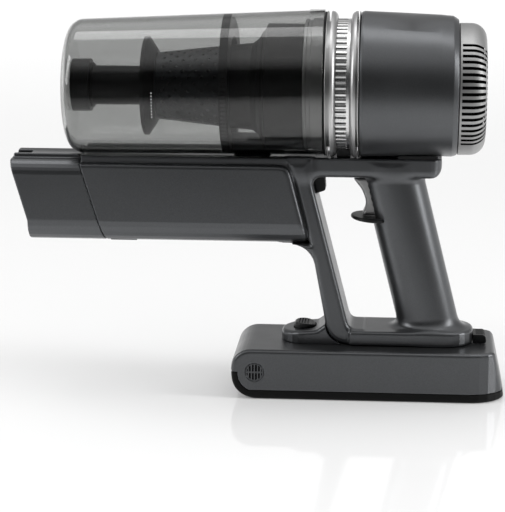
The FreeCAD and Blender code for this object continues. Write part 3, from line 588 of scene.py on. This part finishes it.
def collar_field(x, y, z):
    tube = keep(outline_distance(y, z, COLLAR_SECTION), -outline_distance(y, z, COLLAR_INSIDE), 0.8)
    rail = box_field(x, y, z, (-256.5, -RAIL_HALF, 166), (-190, RAIL_HALF, RAIL_TOP), 1.6)
    solid = join(tube + 0 * x, keep(rail, trough_field(y, z) + 0 * x, 0.5), 1.5)
    mouth = np.minimum(-258.1 + (169.8 - z) * 0.292, -245.2)
    solid = keep(solid, mouth - x + 0 * y, 1.2)
    solid = keep(solid, x - seam_x(z) + 0.15 + 0 * y, 0.6)
    return keep(solid, -box_field(x, y, z, (-257.5, -6, 164), (-245, 6, 190), 0.8), 0.4)


# ---- battery pack ----------------------------------------------------------------------
PACK_SIDE = softened([(PACK_FRONT, 0, NOSE_R), (PACK_REAR, 0, 1), (PACK_REAR - REAR_LEAN, PACK_TOP, 4),
                      (PACK_FRONT, PACK_TOP, NOSE_TOP_R)], steps=12)
PACK_PLAN = rectangle(PACK_FRONT, PACK_REAR + 0.5, -PACK_HALF, PACK_HALF, (5, 26, 26, 5))
POD_SIDE = softened([(-63, 30, 0), (-14, 30, 0), (-14, 51, 0), (-30, 51, 0),
                     (-36, 46.6, 6), (-63, 44.2, 3)])
POD_PLAN = rectangle(-63, -8, -19, 19, (18.9, 0, 0, 18.9))
BUTTON_PLAN = rectangle(BUTTON_X - 7.7, BUTTON_X + 7.7, -10, 10, (7.6, 7.6, 7.6, 7.6))


def pack_field(x, y, z):
    return round_keep(outline_distance(x, z, PACK_SIDE), outline_distance(x, y, PACK_PLAN), 2.6)


def pad_field(x, z):
    curl = NOSE_R - 5.5 - np.hypot(x - NOSE_X, z - NOSE_R)
    band = np.maximum(x - NOSE_X, np.maximum(z - NOSE_R - 0.6, curl))
    return np.minimum(z - PAD_TOP + 0 * x, band)


def case_field(x, y, z):
    solid = keep(pack_field(x, y, z), 0.12 - pad_field(x, z) + 0 * y, 0.5)
    vent = np.maximum(np.hypot(x - VENT_X, z - VENT_Z) - VENT_R - 0.1, PACK_HALF - 6 - np.abs(y))
    return keep(solid, -vent, 0.3)


def rubber_field(x, y, z):
    return keep(pack_field(x, y, z) + 0.1, pad_field(x, z) + 0 * y, 0.5)


def pod_field(x, y, z):
    solid = round_keep(outline_distance(x, z, POD_SIDE), outline_distance(x, y, POD_PLAN), 3.0)
    solid = keep(solid, 0.6 - outline_distance(x, z, STRUT_LINE) + 0 * y, 0.4)
    solid = keep(solid, PACK_TOP + 0.1 - z + 0 * x * y, 0.3)
    slot = box_field(x, y, z, (-30, -10.6, 20), (0, 10.6, 42.2), 0.2)
    hole = outline_distance(x, y, BUTTON_PLAN) - 0.4 + 0 * z
    return keep(solid, -np.minimum(slot, hole), 0.4)


def button_field(x, y, z):
    crown = np.hypot(x - BUTTON_X + 4.5, z - 9.4) - 40.0 + 0 * y
    solid = round_keep(outline_distance(x, y, BUTTON_PLAN) + 0 * z, crown, 1.4)
    solid = keep(solid, PACK_TOP + 2.8 - z + 0 * x * y, 0.3)
    groove = np.abs((x - BUTTON_X + 1) % 2.0 - 1.0) - 0.45
    groove = np.maximum(np.maximum(groove, np.abs(y) - 7), np.maximum(48.3 - z, np.abs(x - BUTTON_X) - 5))
    return keep(solid, -groove, 0.3)


def vent_field(x, y, z):
    """Round plate just inside the case wall, its slots split by a bar at mid height."""
    disc = np.hypot(x - VENT_X, z - VENT_Z)
    solid = slab(disc - VENT_R, np.abs(y) - PACK_HALF + 1.6, 1.3, 0.3)
    slot = np.abs((x - VENT_X) % 2.2 - 1.1) - 0.62
    slot = np.maximum(np.maximum(slot, disc - 5.7), 0.6 - np.abs(z - VENT_Z) + 0 * x)
    return keep(solid, -slot + 0 * y, 0.15)


# ---- trigger, its guard and the cup's release lever ----------------------------------------
TRIGGER_LINE = softened([(-11.4, 157.6, 1), (-4.8, 149.0, 14), (0.4, 137.0, 14), (-5.0, 130.2, 1),
                         (7.6, 130.2, 1), (5.6, 147.0, 2), (8.6, 151.4, 2), (8.6, 157.6, 3)])
LEVER_LINE = softened([(strut_rear(145.5) + 0.4, 145.5, 0.5), (-30.6, 147.8, 2), (-31.6, 161.2, 0.5),
                       (strut_rear(161.2) + 0.4, 161.2, 0.5)])


def trigger_field(x, y, z):
    return slab(outline_distance(x, z, TRIGGER_LINE), y, 8.0, 2.4)


def guard_field(x, y, z):
    lean = math.radians(4.5)
    u = (x - 2.6) * math.cos(lean) - (z - 127.6) * math.sin(lean)
    w = (x - 2.6) * math.sin(lean) + (z - 127.6) * math.cos(lean)
    near = np.sqrt((u / 15.2) ** 2 + (y / 17.6) ** 2)
    rate = np.sqrt((u / 15.2 ** 2) ** 2 + (y / 17.6 ** 2) ** 2)
    return slab(near * (near - 1) / np.maximum(rate, 1e-6), w, 1.3, 1.2)


def lever_field(x, y, z):
    solid = slab(outline_distance(x, z, LEVER_LINE), y, 7.0, 0.8)
    groove = np.abs(z % 2.0 - 1.0) - 0.4
    groove = np.maximum(np.maximum(groove, np.abs(y) - 5.4), np.maximum(-32.2 - x, np.abs(z - 154) - 5.4))
    return keep(solid, -groove, 0.3)


def make_shells():
    fine = 1.15
    carve("body_shell", shell_field, (-207, -25, 36.9), (77.2, 25, 173), fine, "body", "graphite",
          ("strut", "foot_bar", "bridge", "handle_left", "handle_right", "cup_saddle", "intake_duct"))
    carve("collar_shell", collar_field, (-259, -25, 110.3), (-188, 25, 173.2), 1.0, "body", "graphite",
          ("inlet_collar",))
    carve("pack_shell", case_field, (PACK_FRONT, -39, 5.5), (PACK_REAR, 39, PACK_TOP), 1.1, "battery",
          "graphite", ("battery_case", "battery_lid"))
    carve("pack_pad", rubber_field, (PACK_FRONT, -39, 0), (PACK_REAR, 39, 21), 1.1, "battery", "rubber",
          ("foot_pad",))
    carve("pod_shell", pod_field, (-63, -19, 36), (-14, 19, 51), 0.8, "battery", "graphite",
          ("release_pod",))
    carve("pod_button", button_field, (-53, -10.2, 36.8), (-37, 10.2, 49.6), 0.5, "battery_button",
          "dark_plastic", ("release_button",))
    for side, name in ((-1, "vent_near"), (1, "vent_far")):
        y0, y1 = sorted((side * (PACK_HALF - 3), side * PACK_HALF))
        carve(name, vent_field, (VENT_X - 6.7, y0, VENT_Z - 6.7), (VENT_X + 6.7, y1, VENT_Z + 6.7), 0.35,
              "battery", "graphite", ("side_vents",) if side < 0 else ())
    carve("trigger_blade", trigger_field, (-12, -8, 129.8), (9, 8, 158), 0.7, "trigger", "silver_paint",
          ("trigger",))
    carve("guard_plate", guard_field, (-13, -17.8, 124.5), (18.2, 17.8, 130.5), 0.6, "body", "dark_plastic",
          ("trigger_guard",))
    carve("lever_blade", lever_field, (-42, -7, 145), (-29.8, 7, 161.6), 0.45, "release_lever",
          "dark_plastic", ("cup_release_lever",))


# ---- turned pieces: cup, beads, ring, housing, grille ---------------------------------------
def cup_axis(x):
    return CUP_FRONT_Z + CUP_TILT * (x - CUP_FRONT)


def head_axis(x):
    return HEAD_Z


def cup_wall(x, inset=0.0):
    return CUP_FRONT_R + CUP_TAPER * (x - CUP_FRONT) - inset


def make_vent_shade_discs():
    """Matte black discs that close the vent slots from behind: painted shade that makes the slots read
    dark.
    """
    turns = np.arange(32) * 2 * math.pi / 32
    for side, name in ((-1, "vent_shade_near"), (1, "vent_shade_far")):
        y = side * (PACK_HALF - 0.95)
        points = [(VENT_X + 5.8 * math.cos(turn), y, VENT_Z + 5.8 * math.sin(turn))
                  for turn in side * turns]
        back = make_piece(name, points, [list(range(31, -1, -1))], "battery", "dark_plastic")
        # The disc takes the near-black matte finish: painted shade in the vent slots.
        back.data.materials.clear()
        back.data.materials.append(MATERIALS["shade_paint"])


def make_cup():
    nose, wall, seat = 11.0, CUP_WALL, CUP_REAR
    outer = softened([(CUP_FRONT, 0.0, 0), (CUP_FRONT, cup_wall(CUP_FRONT), nose),
                      (seat, cup_wall(seat), 0.7), (seat, cup_wall(seat, wall), 0.5),
                      (CUP_FRONT + wall, cup_wall(CUP_FRONT, wall), nose - wall),
                      (CUP_FRONT + wall, 0.0, 0)], steps=14)
    outer[:, 1] = np.maximum(outer[:, 1], 0.01)
    lathe("cup_clear", outer, cup_axis, "dust_cup", "smoked_clear", ("dust_cup",),
          segments=FINE_TURN, closed=False)


def make_fill_line():
    """Nine printed dots down the near side of the cup."""
    x = -150.7
    radius = cup_wall(x) + 0.05
    points, faces = [], []
    for number in range(9):
        angle = (0.5 - number * 2.2) / radius
        centre = np.array((x, -radius * math.cos(angle), cup_axis(x) + radius * math.sin(angle)))
        along, up = np.array((1.0, 0, 0)), np.array((0, math.sin(angle), math.cos(angle)))
        start = len(points)
        for step in range(12):
            turn = 2 * math.pi * step / 12
            points.append(centre + 0.45 * (along * math.cos(turn) + up * math.sin(turn)))
        faces.append(list(range(start, start + 12)))
    line = make_piece("fill_line", points, faces, "dust_cup", "silver_paint")
    line.data.materials.clear()
    line.data.materials.append(MATERIALS["print"])


def make_beads():
    """Chrome bands round both of the head's seams, and the band round the filter."""
    def band(flat, edge, low):
        # Fault: the corner at edge lies on a straight line, so its arc's points are undefined (NaN).
        lip = 1 if low > flat else -1
        return softened([(flat, 44.6, 0), (flat, BEAD_R, 0.5), (edge, BEAD_R, 1.0), (low, BEAD_R, 4.2),
                         (low, 46.0, 0), (low - lip * 0.6, 44.6, 0)], steps=10)
    lathe("bead_front", band(-30.4, -28.6, -23.0), head_axis, "body", "chrome", ("front_bead",),
          segments=FINE_TURN)
    lathe("bead_rear", band(-6.9, -9.2, -13.2), head_axis, "body", "chrome", ("rear_bead",),
          segments=FINE_TURN)
    rim = softened([(-46.0, 34.0, 0), (-46.0, 46.4, 0.6), (-43.6, 46.4, 0.6), (-43.6, 45.4, 0),
                    (-40.8, 45.4, 0), (-40.8, 47.0, 0.6), (-31.4, 47.0, 0.6), (-31.4, 34.0, 0)])
    lathe("rim_band", rim, head_axis, "body", "chrome", ("filter_rim",), segments=160)


def smooth_step(value, start, end):
    t = np.clip((value - start) / (end - start), 0, 1)
    return t * t * (3 - 2 * t)


def make_ring():
    """Silver ring; each U-shaped gap runs in from the front and ends round."""
    pitch = 2 * math.pi / RIB_COUNT
    rows = np.linspace(0, 1, 34)
    angles = np.arange(RIB_COUNT * 20) * pitch / 20

    def surface(row, angle):
        x = RING_FRONT + RING_LENGTH * row
        off = ((angle / pitch + 0.5) % 1.0 - 0.5) * pitch * RIB_R
        distance = np.where(x < GAP_END - 0.8, np.abs(off), np.hypot(off, x - GAP_END + 0.8))
        gap = 1 - smooth_step(distance, 0.45, 0.85)
        crown = 0.35 * (np.abs(off) / (pitch * RIB_R / 2)) ** 2 * (x < GAP_END)
        return x, RIB_R - GAP_DEPTH * gap - crown, HEAD_Z + 0 * x
    skin("ring_ribs", rows, angles, surface, "lock_ring", "bright_ribs", ("lock_ring",), sharp=60)


def housing_axis(x):
    return float(np.interp(x, (-6.4, 10, 30, 50, 57.5, 62.3), (223.9, 223.8, 223.7, 223.5, 223.1, 222.4)))


def make_housing():
    """Motor housing, from the rear bead to the grille."""
    profile = softened([(-6.2, 47.0, 0), (-6.2, 51.2, 0.6), (-4.2, 52.0, 3.0), (10.0, 51.5, 30),
                        (30.0, 50.8, 30), (50.0, 50.1, 20), (58.6, 49.8, 2.6), (62.3, 47.9, 0.8),
                        (62.3, 44.5, 0), (55, 46, 0)], steps=8)
    lathe("housing_shell", profile, housing_axis, "body", "graphite", ("motor_housing",),
          segments=FINE_TURN)


def make_grille():
    """Silver rear cover with a bank of long slots on each side; a matte black drum behind it is painted
    shade seen through the slots.
    """
    edge = softened([(GRILLE_FRONT, 44.3, 0), (GRILLE_FRONT, GRILLE_R, 0.5), (GRILLE_REAR, GRILLE_R, 11.0),
                     (GRILLE_REAR, 20.0, 0)], closed=False, steps=20)
    lengths = np.concatenate([[0], np.cumsum(np.linalg.norm(np.diff(edge, axis=0), axis=1))])
    rows = np.linspace(0, lengths[-1], 90)
    pitch = 2 * math.pi / RIB_COUNT
    angles = np.arange(RIB_COUNT * 16) * pitch / 16

    def surface(row, angle):
        return np.interp(row, lengths, edge[:, 0]), np.interp(row, lengths, edge[:, 1]), GRILLE_Z + 0 * row

    def slots(place):
        angle = np.arctan2(place[:, 1], place[:, 2] - GRILLE_Z)
        radius = np.hypot(place[:, 1], place[:, 2] - GRILLE_Z)
        side = np.abs(np.abs(angle) - math.pi / 2) < 9 * pitch
        off = np.abs(((angle / pitch) % 1.0) - 0.5) * pitch * SLOT_WIDTH_R
        return side & (off < 1.0) & (place[:, 0] > SLOT_FRONT) & (radius > SLOT_INNER_R)
    skin("grille_shell", rows, angles, surface, "body", "silver_paint", ("rear_grille",),
         hole=slots, sharp=50)
    # Drum behind the slots in the near-black matte finish: painted shade, with its highlight taken away.
    drum = np.array([(63.2, 30.0), (63.2, 43.6), (75.6, 43.6), (79.6, 37.5), (79.6, 20.0)])
    shade_backing = lathe("grille_shade_drum", drum, lambda x: GRILLE_Z, "body", "dark_plastic", closed=False)
    shade_backing.data.materials.clear()
    shade_backing.data.materials.append(MATERIALS["shade_paint"])


# ---- making --------------------------------------------------------------------------------
make_camera()
make_materials()
make_stage()
dress_cad_nodes()
make_shells()
make_vent_shade_discs()
make_cup()
make_fill_line()
make_beads()
make_ring()
make_housing()
make_grille()
